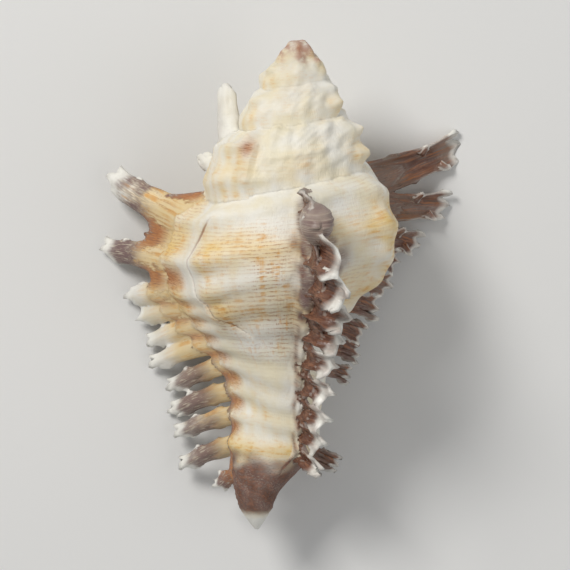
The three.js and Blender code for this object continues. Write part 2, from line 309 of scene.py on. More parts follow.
def remember(points, **values):
    table = np.zeros((len(points), len(markNames)))
    for name, value in values.items():
        table[:, markNames.index(name)] = value
    marks["points"].append(np.array(points))
    marks["values"].append(table)


def closeEnds(piece, gap):
    choose(piece)
    bpy.ops.object.mode_set(mode="EDIT")
    bpy.ops.mesh.select_all(action="SELECT")
    bpy.ops.mesh.remove_doubles(threshold=gap)
    bpy.ops.mesh.select_all(action="DESELECT")
    bpy.ops.mesh.select_mode(type="EDGE")
    bpy.ops.mesh.select_non_manifold()
    bpy.ops.mesh.fill_holes(sides=0)
    bpy.ops.mesh.select_all(action="SELECT")
    bpy.ops.mesh.normals_make_consistent(inside=False)
    bpy.ops.object.mode_set(mode="OBJECT")


def applyModifier(piece, kind, **settings):
    choose(piece)
    modifier = piece.modifiers.new(kind.title(), kind)
    for name, value in settings.items():
        setattr(modifier, name, value)
    bpy.ops.object.modifier_apply(modifier=modifier.name)


def combine(piece, other, operation="UNION"):
    applyModifier(piece, "BOOLEAN", object=other, operation=operation, solver="MANIFOLD")
    bpy.data.objects.remove(other)


# The parts of the coil.
growth = {"overlap": 0.006, "inner": 0.5, "innerRows": 18, "spacing": 0.42, "shrink": 0.004, "lipRound": 0.009}


def evenPlaces(start, end, count):  # places along the section with even spacing between them
    fine = np.linspace(start, end, 400)
    distance, depth = outlineAt(fine, np.zeros(400))
    run = np.concatenate([[0], np.cumsum(np.hypot(np.diff(distance), np.diff(depth)))])
    return np.interp(np.linspace(0, run[-1], count), run, fine)


def coilPoints(place, turn):
    distance, depth = outlineAt(place, turn)
    return placed(distance, depth, turn)


def coilPart(name, first, last, end, rows, columns):
    places = evenPlaces(0.02, end, rows)
    inside = np.linspace(end, 0.02, growth["innerRows"])
    count = rows + growth["innerRows"]
    piece, u, v = newGrid(name, columns, count)
    row = np.rint(v * count).astype(int) % count
    loop = np.concatenate([places, inside])
    isInner = np.concatenate([np.zeros(rows), np.ones(growth["innerRows"])])
    place, inner = loop[row], isInner[row]
    turn = mixed(first - growth["overlap"], last, u)
    distance, depth = outlineAt(place, turn)
    girth = sectionAt(place)[:, 1]
    points = placed(distance, depth, turn)
    # outward way across the section, from its slope
    ahead = outlineAt(np.minimum(place + 0.01, lastPoint), turn)
    behind = outlineAt(np.maximum(place - 0.01, 0), turn)
    slope = np.stack([ahead[1] - behind[1], -(ahead[0] - behind[0])], -1)
    slope /= np.maximum(np.linalg.norm(slope, axis=1), 1e-9)[:, None]
    height = reliefAt(turn, girth, points) * (1 - inner)
    height = np.minimum(height, 3)
    rounding = np.clip((turn + growth["lipRound"]) / growth["lipRound"], 0, 1) * (last >= 0)
    height = height - 1.1 * (1 - np.sqrt(1 - 0.99 * rounding**2)) * (1 - inner)
    start = 1 - smooth(first - growth["overlap"], first, turn)
    shrink = 1 - growth["shrink"] * start
    distance = (distance + height * slope[:, 0]) * shrink * mixed(1, growth["inner"], inner)
    depth = depth + height * slope[:, 1] + 0.05 * start
    points = placed(np.maximum(distance, 0.05), depth, turn)
    setPoints(piece, points)
    remember(points, turn=turn, girth=girth, kind=0)
    closeEnds(piece, 0.0005)
    return piece


coreGrid = (72, 110)


def coreMesh():  # a plain solid inside the whorls, so that nothing is left open between them
    piece, u, v = newGrid("core", *coreGrid)
    turn = mixed(-0.997, 0, u)
    depth = mixed(coil["wornTip"] + 0.3, coil["tipDepth"] - 0.6, v)
    fine = np.linspace(0, lastPoint, 160)
    outer = np.zeros(len(turn))
    for column in np.unique(turn):
        here = turn == column
        for whorl in range(7):
            distance, down = outlineAt(fine, np.full(160, column - whorl))
            outer[here] = np.maximum(outer[here], np.interp(depth[here], down, distance, left=0, right=0))
    points = placed(np.maximum(outer * 0.86, 0.1), depth, turn)
    setPoints(piece, points)
    return piece


def closeCore(piece):  # joins the first and last columns by a strip of faces, and fills the ends
    columns = coreGrid[0] + 1
    mesh = piece.data
    faces = [tuple(face.vertices) for face in mesh.polygons]
    rows = len(mesh.vertices) // columns
    for row in range(rows - 1):
        a, b = row * columns, (row + 1) * columns
        faces.append((a + columns - 1, a, b, b + columns - 1))
    points = [tuple(vertex.co) for vertex in mesh.vertices]
    mesh.clear_geometry()
    mesh.from_pydata(points, [], faces)
    closeEnds(piece, 0.0001)


def buildCoil():
    core = coreMesh()
    closeCore(core)
    parts = []
    for half in range(12):
        last, first = -half / 2, -(half + 1) / 2
        end = lastPoint - 0.05 if half < 2 else 6.2
        size = float(widthAt(np.array(last)))
        rows = 124 if half < 2 else int(60 * size) + 6
        columns = 112 if half < 2 else int(120 * size) + 20
        parts.append(coilPart("whorl" + str(half), first, last, end, rows, columns))
    shell = core
    for part in reversed(parts):
        combine(shell, part)
    shell.name = "murexShell"
    return shell


shell = buildCoil()
print("coil", len(shell.data.vertices), "vertices")


# Fronds: a trough of shell on each cord of a varix, open ahead, with frilled edges.
def spotOn(turn, girth):  # the place along the section with that depth at the lip
    fine = np.linspace(0, lastPoint, 600)
    return float(np.interp(girth, sectionAt(fine)[:, 1], fine))


def alongVarix(turn):
    angle = float(angleAt(turn))
    outward = np.array([math.cos(angle), 0, math.sin(angle)])
    forward = np.array([-math.sin(angle), 0, math.cos(angle)])
    return outward, forward, np.array([0, 1.0, 0])


def unit(vectors):
    return vectors / np.maximum(np.linalg.norm(vectors, axis=-1), 1e-9)[..., None]


def faceOut(piece):
    choose(piece)
    bpy.ops.object.mode_set(mode="EDIT")
    bpy.ops.mesh.select_all(action="SELECT")
    bpy.ops.mesh.normals_make_consistent(inside=False)
    bpy.ops.object.mode_set(mode="OBJECT")


def thicken(piece, wall, back, table):  # gives a sheet its wall, and notes which side is the hollow one
    points = getPoints(piece)
    applyModifier(piece, "SOLIDIFY", thickness=wall, offset=0, use_even_offset=False)
    moved = getPoints(piece)
    count = len(points)
    firstIsHollow = float(((moved[:count] - points) * back).sum(1).mean() < 0)
    remember(moved[:count], hollow=firstIsHollow, **table)
    remember(moved[count:2 * count], hollow=1 - firstIsHollow, **table)
    faceOut(piece)


def troughPart(name, spine, widths, forward, look, grid, table):
    root, bow, tip = spine
    piece, u, v = newGrid(name, *grid)
    own = np.random.default_rng(look["seed"])
    across = 2 * u - 1
    length = np.linalg.norm(tip - root)
    # the tip is cut into lobes and the edges into teeth
    lobe = np.cos(across * math.pi * look["lobes"] + own.uniform(-0.8, 0.8)) * look["lobeDepth"] / length
    lobe = lobe - 0.7 / length * np.abs(across) ** 3 + own.uniform(-0.5, 0.5) / length * across
    along = v + lobe * smooth(0.5, 1, v)
    t = along[:, None]
    line = (1 - t) ** 2 * root + 2 * t * (1 - t) * bow + t**2 * tip
    tangent = unit(2 * (1 - t) * (bow - root) + 2 * t * (tip - bow))
    side = unit(np.cross(tangent, forward))
    back = unit(np.cross(tangent, side))
    half = 0.5 * mixed(widths[0], widths[1], np.clip(along, 0, 1) ** 0.8)
    flare = look["flare"] * smooth(0.7, 1, v)
    half = half * (1 + flare - 0.06 * np.sin(math.pi * np.clip(v, 0, 1)))
    run = along * length * 2 * math.pi / look["toothGap"] + own.uniform(0, 6) + 2.1 * (across > 0)
    teeth = 0.6 * np.sin(run) + 0.4 * np.sin(1.63 * run + own.uniform(0, 6))
    edge = np.abs(across) ** 4
    half = half * (1 + look["toothDepth"] * teeth * edge * smooth(0.25, 0.5, v))
    arc = across * math.radians(fronds["arc"]) * mixed(1.05, look["openTip"], smooth(0.3, 1, v))
    pleat = look["pleat"] * np.cos(across * math.pi * look["ribs"] + own.uniform(-0.5, 0.5))
    pleat = pleat * smooth(0, 0.35, v)
    wave = look["crinkle"] * np.sin(run * 0.7 + across * 2 + own.uniform(0, 6)) * edge
    deep = mixed(fronds["rise"], look["deep"], smooth(0.3, 0.8, v))
    rise = half * np.cos(arc) * deep - fronds["sink"] * half + pleat + wave
    points = line + side * (half * np.sin(arc))[:, None] + back * rise[:, None]
    points = points + look["rough"] * lumps(points, 2.2, look["seed"])[:, None] * back
    setPoints(piece, points)
    grown = mixed(table["start"], table["finish"], np.clip(v, 0, 1))
    table = dict(table, cross=across * half, rim=np.abs(across), along=grown)
    del table["start"], table["finish"]
    thicken(piece, fronds["wall"] * look["wall"], back, table)
    return piece


def spineFor(varix, sizes):
    girth, out, ahead, up = sizes[:4]
    turn = -varix * coil["varixTurn"]
    outward, forward, apexward = alongVarix(turn)
    base = coilPoints(np.array([spotOn(turn, girth)]), np.array([turn]))[0]
    root = base - fronds["root"] * float(widthAt(np.array(turn))) * outward
    tip = base + out * outward + ahead * forward + up * apexward
    bow = (root + tip) / 2 - fronds["bow"] * (ahead * forward + up * apexward)
    return (root, bow, tip), forward


def spineAt(spine, t):
    root, bow, tip = spine
    return (1 - t) ** 2 * root + 2 * t * (1 - t) * bow + t**2 * tip, unit(mixed(bow - root, tip - bow, t))


def twigPart(name, spine, widths, forward, look, twig, table):  # a side branch of a frond
    share, way, length = twig
    middle, tangent = spineAt(spine, share)
    side = unit(np.cross(tangent, forward)) * way
    start = middle + side * 0.5 * mixed(widths[0], widths[1], share) * 0.55
    heading = unit(0.75 * tangent + 0.75 * side + 0.25 * forward)
    tip = start + heading * length
    root = start - heading * 1.0
    small = dict(look, lobes=1, lobeDepth=0.25, pleat=0.05, crinkle=0.03, toothDepth=0.04, flare=0, wall=0.75)
    table = dict(table, start=share, finish=1)
    branch = (root, (root + tip) / 2 + 0.15 * side, tip)
    return troughPart(name, branch, (1.9, 1.1), forward, small, (6, 6), table)


looks = {  # how the fronds of each varix are shaped; a twig is share along, side and length
    0: {
        "lobes": 2, "lobeDepth": 0.6, "flare": 0.06, "toothGap": 1.9, "toothDepth": 0.07, "openTip": 0.85,
        "ribs": 3, "pleat": 0.17, "crinkle": 0.06, "wall": 1.15, "rough": 0.12,
        "twigs": [(0.8, 1, 1.7), (0.68, -1, 1.9)], "twigFrom": 3, "deep": 0.8,
    },
    1: {
        "lobes": 3, "lobeDepth": 1.1, "flare": 0.5, "toothGap": 2.0, "toothDepth": 0.12, "openTip": 0.85,
        "ribs": 4, "pleat": 0.3, "crinkle": 0.5, "wall": 0.72, "rough": 0.4, "twigs": [], "twigFrom": 0,
        "deep": 1.5,
    },
    2: {
        "lobes": 2.5, "lobeDepth": 0.9, "flare": 0.3, "toothGap": 2.3, "toothDepth": 0.12, "openTip": 0.72,
        "ribs": 4, "pleat": 0.3, "crinkle": 0.28, "wall": 0.85, "rough": 0.2,
        "twigs": [(0.8, 1, 1.8), (0.66, -1, 1.6)], "twigFrom": 4.5, "deep": 0.9,
    },
    3: {
        "lobes": 1, "lobeDepth": 0.3, "flare": 0.0, "toothGap": 3.0, "toothDepth": 0.03, "openTip": 0.8,
        "ribs": 3, "pleat": 0.1, "crinkle": 0.02, "wall": 1.2, "rough": 0.12, "twigs": [], "twigFrom": 0,
        "deep": 0.8,
    },
}

webs = {  # sheets of shell joining the fronds of a varix: depth at the lip and how far out they reach there
    0: {
        "reach": [(32.8, 0.8), (33.6, 4.4), (35.5, 6.6), (38.2, 9.0), (41.6, 7.6), (45.3, 8.2), (48.0, 6.4),
                  (51.0, 6.6), (56.6, 5.4), (59.8, 4.2), (63.4, 2.0), (77.4, 1.2), (82.4, 1.6), (85.0, 0.3)],
        "scallop": 0.3, "ridge": 0.6,
    },
    1: {
        "reach": [(33.4, 0.8), (36.0, 5.6), (43.0, 5.2), (52.8, 4.4), (65.0, 3.4), (77.6, 2.6), (80.0, 0.3)],
        "scallop": 0.35, "ridge": 0.7,
    },
    2: {
        "reach": [(37.6, 0.8), (41.0, 8.0), (46.6, 6.4), (50.4, 4.6), (60.0, 3.4), (66.4, 2.4), (79.0, 2.0),
                  (81.5, 0.3)],
        "scallop": 0.5, "ridge": 0.5,
    },
}
webGrid = {"along": 170, "outward": 9, "root": 2.4, "setBack": 0.6, "wall": 1.0}


def webPart(varix, web):
    girths, reaches = np.array(web["reach"]).T
    piece, u, v = newGrid("web" + str(varix), webGrid["along"], webGrid["outward"])
    turn = -varix * coil["varixTurn"]
    outward, forward, apexward = alongVarix(turn)
    girth = mixed(girths[0], girths[-1], u)
    table = np.array(fronds["varices"][varix])
    own = table[:, 0]
    ways = unit(table[:, 1:4])
    way = np.stack([np.interp(girth, own, ways[:, i]) for i in range(3)], -1)
    near = np.abs(girth[:, None] - own).min(1) / np.interp(girth, own, np.gradient(own) / 2)
    reach = np.interp(girth, girths, reaches) * (1 - web["scallop"] * smooth(0.2, 1, near))
    reach = reach * (1 + 0.06 * np.sin(girth * 5.1) + 0.05 * np.sin(girth * 8.7 + 1))
    fine = np.linspace(0, lastPoint, 600)
    place = np.interp(girth, sectionAt(fine)[:, 1], fine)
    base = coilPoints(place, np.full(len(u), turn))
    heading = way[:, :1] * outward + way[:, 1:2] * forward + way[:, 2:] * apexward
    start = base - webGrid["root"] * outward
    end = base + heading * reach[:, None]
    points = mixed(start, end, v[:, None])
    ridge = web["ridge"] * bell(near, 0.55) + 0.07 * np.cos(girth * 2 * math.pi / 0.85)
    points = points - forward * (webGrid["setBack"] + ridge * smooth(0.1, 0.5, v))[:, None]
    setPoints(piece, points)
    table = dict(turn=turn, girth=girth, kind=1, along=v * 0.55, cross=girth * 0.9, rim=v)
    thicken(piece, webGrid["wall"], np.broadcast_to(-forward, points.shape), table)
    return piece


def stubPart():  # the rounded stub at the top of the middle varix
    turn = -coil["varixTurn"]
    outward, forward, apexward = alongVarix(turn)
    piece, u, v = newGrid("stub", 40, 28)
    around = u * 2 * math.pi
    high = v * math.pi
    stripe = np.sin(high) * np.sin(around) * 3.5
    radius = 1 + 0.035 * np.cos(stripe * 2 * math.pi / 1.1) + 0.06 * np.sin(around * 2 + high * 3)
    base = coilPoints(np.array([spotOn(turn, 38.2)]), np.array([turn]))[0] + 5.2 * outward - 0.6 * forward
    points = base + (radius * np.sin(high) * np.cos(around) * 3.1)[:, None] * forward
    points = points + (radius * np.sin(high) * np.sin(around) * 3.5)[:, None] * apexward
    points = points + (radius * np.cos(high) * 4.6)[:, None] * outward
    setPoints(piece, points)
    remember(points, turn=turn, girth=38, kind=1, along=0.5, cross=np.sin(high) * np.sin(around) * 3.5 + 20)
    closeEnds(piece, 0.01)
    return piece


chips = [  # broken points of the apex: middle, lean to the right, sizes below and above, height
    ((0.8, -5.3, 0.9), -0.15, 1.15, 0.55, 2.6), ((2.0, -4.7, 0.2), 0.12, 1.0, 0.4, 3.0),
    ((1.4, -5.6, 1.9), 0.05, 0.9, 0.5, 2.0),
]


def chipPart(middle, lean, low, high, tall):
    deselectAll()
    bpy.ops.mesh.primitive_cone_add(vertices=9, radius1=low, radius2=high, depth=tall)
    piece = bpy.context.object
    own = getPoints(piece)
    own = own * (1 + 0.12 * lumps(own * 3, 2, 41))[:, None]
    points = np.stack([own[:, 0] + lean * own[:, 2], own[:, 2], -own[:, 1]], -1) + np.array(middle)
    setPoints(piece, points)
    remember(points, turn=-5.6, girth=45, kind=0)
    return piece


def wornPart(varix, sizes):  # an old frond worn down to a blunt thorn
    (root, bow, tip), forward = spineFor(varix, sizes)
    deselectAll()
    bpy.ops.mesh.primitive_cone_add(vertices=14, radius1=1, radius2=sizes[5] / sizes[4] * 0.7, depth=1)
    piece = bpy.context.object
    own = getPoints(piece)
    heading = tip - root
    side = unit(np.cross(heading, forward))
    wide = 0.5 * sizes[4]
    points = (root + tip) / 2 + own[:, 2:] * heading + own[:, :1] * wide * side
    points = points + own[:, 1:2] * wide * 0.8 * forward
    setPoints(piece, points)
    remember(points, turn=-varix * coil["varixTurn"], girth=sizes[0], kind=0)
    faceOut(piece)
    return piece


def buildFronds(shell):
    for varix, web in webs.items():
        combine(shell, webPart(varix, web))
    combine(shell, stubPart())
    for chip in chips:
        combine(shell, chipPart(*chip))
    seed = 20
    grid = (fronds["across"], fronds["along"])
    for varix, row in enumerate(fronds["varices"]):
        for sizes in row:
            seed += 1
            look = dict(looks[min(varix, 3)], seed=seed)
            if varix > 3:
                combine(shell, wornPart(varix, sizes))
                continue
            spine, forward = spineFor(varix, sizes)
            table = dict(turn=-varix * coil["varixTurn"], girth=sizes[0], kind=1, start=0, finish=1)
            combine(shell, troughPart("frond" + str(seed), spine, sizes[4:], forward, look, grid, table))
            for twig in look["twigs"] if sizes[4] > look["twigFrom"] else []:
                part = twigPart("twig" + str(seed), spine, sizes[4:], forward, look, twig, table)
                combine(shell, part)


buildFronds(shell)
print("fronds", len(shell.data.vertices), "vertices")

# The chamber behind the aperture.
chamber = {
    "loop": [(9.5, 36.5), (14.8, 40.0), (17.6, 46.5), (16.6, 52.0), (12.6, 57.5), (8.0, 62.5), (4.6, 68.0),
             (2.8, 66.0), (4.4, 56.0), (5.4, 46.0)],
    "middle": (8.6, 50.0), "turn": 0.55, "end": 0.3, "skip": 0.45, "round": 84, "along": 50,
    "crenHeight": 0.35,
}


def loopAt(share):
    table = np.array(chamber["loop"], float)
    count = len(table)
    place = share * count
    first = np.floor(place).astype(int)
    t = (place - first)[..., None]
    a, b, c, d = (table[(first + step) % count] for step in (-1, 0, 1, 2))
    return 0.5 * (2 * b + (c - a) * t + (2 * a - 5 * b + 4 * c - d) * t**2 + (3 * b - a - 3 * c + d) * t**3)


def chamberPart():
    piece, u, v = newGrid("chamber", chamber["along"], chamber["round"])
    turn = mixed(0.03, -chamber["turn"], u)
    size = mixed(1, chamber["end"], u)
    spot = loopAt(np.mod(v, 1))
    middle = np.array(chamber["middle"])
    near = smooth(-0.07, -0.005, turn)
    outerWall = smooth(10, 13, spot[:, 0]) * smooth(38, 42, spot[:, 1]) * (1 - smooth(64, 68, spot[:, 1]))
    ridges = -np.clip(np.cos(spot[:, 1] * 2 * math.pi / 2.1), 0, 1) * chamber["crenHeight"] * near * outerWall
    way = unit(spot - middle)
    spot = (spot + way * (ridges + 0.5 * near)[:, None] - middle) * size[:, None] + middle
    before = np.minimum(turn, 0)
    kept = np.minimum(-before, coil["keptTurn"])
    depth = spot[:, 1] * coil["turnDrop"] ** (before + chamber["skip"] * kept)
    points = placed(spot[:, 0] * widthAt(before), depth, turn)
    setPoints(piece, points)
    remember(points, turn=turn, girth=spot[:, 1], kind=2, along=u, cross=v)
    closeEnds(piece, 0.0005)
    return piece


combine(shell, chamberPart(), "DIFFERENCE")


def cleanUp(piece):  # plain triangles, only the outer surface, and no flakes of two faces back to back
    mesh = piece.data
    mesh.calc_loop_triangles()
    corners = np.zeros(len(mesh.loop_triangles) * 3, int)
    mesh.loop_triangles.foreach_get("vertices", corners)
    corners = corners.reshape(-1, 3)
    points = getPoints(piece)
    group = np.arange(len(points))
    before = None
    while before is None or (group != before).any():
        before = group.copy()
        lowest = group[corners].min(1)
        for corner in range(3):
            np.minimum.at(group, corners[:, corner], lowest)
        group = group[group]
    outer = np.bincount(group[corners[:, 0]]).argmax()
    _, same, times = np.unique(np.sort(corners, 1), axis=0, return_inverse=True, return_counts=True)
    kept = (group[corners[:, 0]] == outer) & (times[same.ravel()] == 1)
    used, renumbered = np.unique(corners[kept], return_inverse=True)
    mesh.clear_geometry()
    mesh.from_pydata(points[used].tolist(), [], renumbered.reshape(-1, 3).tolist())
    print("cleaned", len(points) - len(used), "vertices of sealed surfaces and flakes removed")


cleanUp(shell)
print("chamber", len(shell.data.vertices), "vertices")


# What each vertex was, found again after joining.
def recall(piece):
    known = np.concatenate(marks["points"])
    values = np.concatenate(marks["values"])
    tree = kdtree.KDTree(len(known))
    for i, point in enumerate(known):
        tree.insert(point, i)
    tree.balance()
    points = getPoints(piece)
    nearest = np.empty(len(points), int)
    gap = np.empty(len(points))
    for i, point in enumerate(points):
        _, nearest[i], gap[i] = tree.find(point)
    return points, values[nearest], gap


points, values, gap = recall(shell)
print("recalled", int((gap > 0.01).sum()), "new vertices at joins")
was = {name: values[:, i] for i, name in enumerate(markNames)}


def softenJoins(piece, gap, times):  # a small fillet where parts meet
    mesh = piece.data
    count = len(mesh.vertices)
    edges = np.zeros(len(mesh.edges) * 2, int)
    mesh.edges.foreach_get("vertices", edges)
    edges = edges.reshape(-1, 2)
    near = (gap > 0.004).astype(float)
    for _ in range(4):
        spread = near.copy()
        np.maximum.at(spread, edges[:, 0], near[edges[:, 1]] * 0.8)
        np.maximum.at(spread, edges[:, 1], near[edges[:, 0]] * 0.8)
        near = spread
    points = getPoints(piece)
    valence = np.zeros(count)
    np.add.at(valence, edges.ravel(), 1)
    for _ in range(times):
        total = np.zeros((count, 3))
        np.add.at(total, edges[:, 0], points[edges[:, 1]])
        np.add.at(total, edges[:, 1], points[edges[:, 0]])
        points = points + (total / valence[:, None] - points) * (near * 0.5)[:, None]
    setPoints(piece, points)


softenJoins(shell, gap, 9)
coilSpace = getPoints(shell)
resting = atRest(coilSpace)
low = 0.4 * mm  # what would be below this is pressed in between it and the floor
resting[:, 2] = np.where(resting[:, 2] < low, low * np.exp((resting[:, 2] - low) / low), resting[:, 2])
setPoints(shell, resting)
choose(shell)
bpy.ops.object.shade_smooth()

# Colour masks, worked out from where each vertex grew.
colour = {
    "ivory": (0.86, 0.79, 0.60), "white": (0.90, 0.885, 0.82), "tan": (0.74, 0.38, 0.10),
    "yellow": (0.85, 0.62, 0.25),
    "thread": (0.40, 0.14, 0.035), "brown": (0.135, 0.055, 0.034), "dark": (0.040, 0.017, 0.014),
    "purple": (0.21, 0.135, 0.125), "pink": (0.46, 0.22, 0.15), "porcelain": (0.88, 0.85, 0.78),
    "rust": (0.47, 0.17, 0.045), "horn": (0.27, 0.125, 0.072),
}


def masksFor(points, was):
    turn, girth, along = was["turn"], was["girth"], was["along"]
    hollow, rim = was["hollow"], was["rim"]
    onCoil, onFrond, inChamber = was["kind"] == 0, was["kind"] == 1, was["kind"] == 2
    depth = -points[:, 1]
    patch = 0.5 + 0.5 * lumps(points, 9, 11)
    fine = 0.5 + 0.5 * lumps(points, 3.2, 12)
    stage = varixAt(turn)[1]
    rib = bell(girth[:, None] - cordsAt(turn), 1.25).max(-1)
    varix = np.rint(-turn / coil["varixTurn"])
    lip, middle, rightSide = (onFrond & (varix == n) for n in range(3))
    spire = onFrond & (varix > 2)
    older = smooth(0.9, 1.2, -turn)
    newest, newestButOne = stage == 0, stage == 1
    nearLip = smooth(-0.1, -0.01, turn) * newest
    upper, lower = 1 - smooth(46.5, 49, girth), smooth(61, 64, girth)
    masks = {}

    # yellow and tan: two bands round the coil, the knobs, hollows between ribs and the canal's start
    band = np.maximum(bell(girth - 43, 3.2), 0.9 * bell(girth - 53, 3.6))
    knob = bell(turn + (stage + 0.5) * coil["varixTurn"], 0.05) * bell(girth - 45, 7)
    tan = band * (0.3 + 0.5 * patch) * (1 - 0.8 * older) + 0.5 * knob * fine + 0.24 * older * patch * fine
    tan = tan + 0.55 * nearLip * (1 - 0.4 * rib) + 0.5 * smooth(58, 68, girth) * patch * fine
    tan = tan + 0.7 * bell(girth - 78, 1.6) * newest
    tan = tan + 0.5 * bell(girth - 44, 8) * bell(turn + 0.485, 0.03) * fine
    frondTan = lip * (0.8 * (1 - smooth(0.5, 0.85, along))) + rightSide * 0.2
    masks["tan"] = onCoil * tan + frondTan

    # threads show most on the back panel, near the lip and on its web, and not on the worn spire
    panel = smooth(-0.335, -0.3, turn) * (1 - smooth(-0.15, -0.1, turn)) * smooth(37, 40, girth) * (
        1 - smooth(60, 64, girth))
    right = 0.35 * smooth(-0.62, -0.5, turn) * (1 - smooth(-0.4, -0.36, turn))
    patches = 0.4 + 0.9 * bell(turn + 0.275, 0.03) + 0.6 * bell(girth - 54.5, 2.4) + 0.4 * bell(girth - 44, 2)
    threads = panel * patches * (0.45 + 0.6 * patch) + right * patch + 0.5 * nearLip
    masks["threads"] = onCoil * threads * (1 - older)
    masks["threads"] += lip * (rim > 0) * upper * 0.8 * smooth(0.1, 0.3, along)

    # rust in the grooves towards the lip and along the web's edge
    groove = nearLip * (1 - rib) * smooth(45, 48, girth) * (1 - smooth(74, 79, girth))
    masks["rust"] = onCoil * groove * 0.95 + lip * (1 - hollow) * (1 - rib) * smooth(0.1, 0.35, along) * 0.95
    masks["rust"] += onCoil * bell(turn + 1.2, 0.014) * bell(girth - 38, 1.8) * 0.9
    masks["rust"] += onCoil * bell(depth - 5.2, 0.9) * bell(points[:, 0] - 1.4, 0.7) * 0.9

    # brown and purple: the canal, the hollow side of the fronds, and the foot of the middle varix; on the lip
    # fronds and their web the hollow side faces the floor, and the brown there is painted shade
    canal = smooth(78.2, 82, girth + 1.6 * lumps(points, 6, 14)) * (1 - smooth(88.8, 90.6, girth))
    foot = bell(turn + 0.321 + 0.006 * lumps(points, 5, 21), 0.011) * smooth(34, 36.5, girth)
    foot = foot * (1 - smooth(80, 83, girth)) * (0.35 + 0.65 * fine)
    slope = smooth(-0.395, -0.355, turn + 0.012 * lumps(points, 4, 22)) * (turn < -0.32)
    slope = slope * smooth(38, 41, girth)
    slope = slope * (1 - smooth(51, 57, girth)) * newestButOne * (0.65 + 0.35 * fine)
    slope = np.maximum(slope, 0.9 * bell(turn + 0.38, 0.018) * bell(girth - 46.5, 2))
    # painted shade: brown on the hollow side of the lip fronds and their web, the side that faces the floor
    frondBrownAndPaintedShade = lip * (0.85 * hollow * smooth(0.12, 0.45, along) + 0.5 * (
        1 - hollow) * lower * smooth(0.2, 0.5, along) * (1 - rim))
    frondBrownAndPaintedShade = frondBrownAndPaintedShade + middle * (0.55 + 0.45 * hollow)
    frondBrownAndPaintedShade = frondBrownAndPaintedShade + rightSide * (0.75 + 0.25 * patch) + 0.25 * spire * fine
    masks["brown"] = onCoil * (0.95 * canal + 0.9 * foot + 0.5 * slope * fine) + frondBrownAndPaintedShade
    lipPurple = upper * smooth(0.38, 0.62, along) + lower * 0.75 * smooth(0.3, 0.6, along) + 0.15
    frondPurple = lip * (1 - hollow) * lipPurple + middle * (1 - hollow) * (
        0.6 + 0.4 * fine) + rightSide * 0.45 * fine
    stump = smooth(-0.3, 1.2, was["cross"]) * (1 - smooth(0.7, 0.9, along))
    frondPurple = frondPurple + spire * 0.7 * stump
    masks["purple"] = onCoil * (0.55 * canal * fine + slope + 0.06 * older * smooth(0.62, 0.9, patch)) + frondPurple

    # white: tips and edges of the fronds, the canal's end, and the smooth band beside the last growth step
    tips = lip * smooth(0.82, 0.93, along) + middle * (0.35 + 0.65 * fine) * smooth(
        0.86, 0.99, along + 0.09 * smooth(50, 60, girth) + 0.07 * patch)
    tips = tips + rightSide * (
        0.75 * smooth(0.9, 0.97, along) + 0.5 * smooth(0.85, 0.97, rim) * smooth(0.5, 0.7, along))
    calm = smooth(-0.165, -0.12, turn) * (1 - smooth(-0.075, -0.035, turn)) * newest
    calm = calm * (1 - smooth(60, 68, girth))
    whiteCoil = smooth(89.3, 91, girth) + 0.7 * calm * bell(girth - 47, 7)
    masks["white"] = tips + 0.65 * spire + onCoil * whiteCoil

    apex = 1 - smooth(5.6, 8.2, depth + 1.2 * lumps(points, 3, 15))
    masks["pink"] = onCoil * apex * (0.55 + 0.45 * fine)
    spots = inChamber * smooth(-0.035, 0.0, turn) * smooth(0.2, 0.8, np.cos(girth * 2 * math.pi / 2.1))
    masks["brown"] = masks["brown"] + 0.8 * spots
    masks["horn"] = 1.0 * rightSide
    masks["gloss"] = inChamber * 1.0 + onFrond * hollow * 0.8 + rightSide * 0.8 + 0.3 * middle
    masks["inner"] = inChamber * 1.0
    for name in masks:
        masks[name] = np.clip(masks[name], 0, 1)
    # millimetres across and along the growth, for threads and growth lines, and from the last growth step
    masks["thread"] = np.where(onFrond, was["cross"] + 50, girth * mixed(widthAt(turn), 1, 0.3))
    masks["growth"] = np.where(onFrond, along * 12, turn * 120)
    fromStep = np.clip((turn - stepTurn(girth)) * 2 * math.pi * 18, -5, 5)
    masks["step"] = np.where(onCoil & newest, fromStep, np.where(turn < -0.25, -5, 5))
    masks["stepShows"] = smooth(37, 39.5, girth) * (1 - smooth(55, 58, girth))
    return masks


def writeMasks(piece, masks):
    for name, values in masks.items():
        layer = piece.data.attributes.new(name, "FLOAT", "POINT")
        layer.data.foreach_set("value", np.asarray(values, np.float32))


writeMasks(shell, masksFor(coilSpace, was))


# Material.
class Socket:  # a node's output, or a number, that takes part in sums
    def __init__(self, paint, link):
        self.paint, self.link = paint, link

    def maths(self, operation, *values):
        return self.paint.add("ShaderNodeMath", {"operation": operation}, dict(enumerate(values)))

    def __add__(self, other):
        return self.maths("ADD", self, other)

    __radd__ = __add__

    def __sub__(self, other):
        return self.maths("SUBTRACT", self, other)

    def __rsub__(self, other):
        return self.maths("SUBTRACT", other, self)

    def __mul__(self, other):
        return self.maths("MULTIPLY", self, other)

    __rmul__ = __mul__

    def clamped(self):
        return self.maths("MINIMUM", self.maths("MAXIMUM", self, 0.0), 1.0)


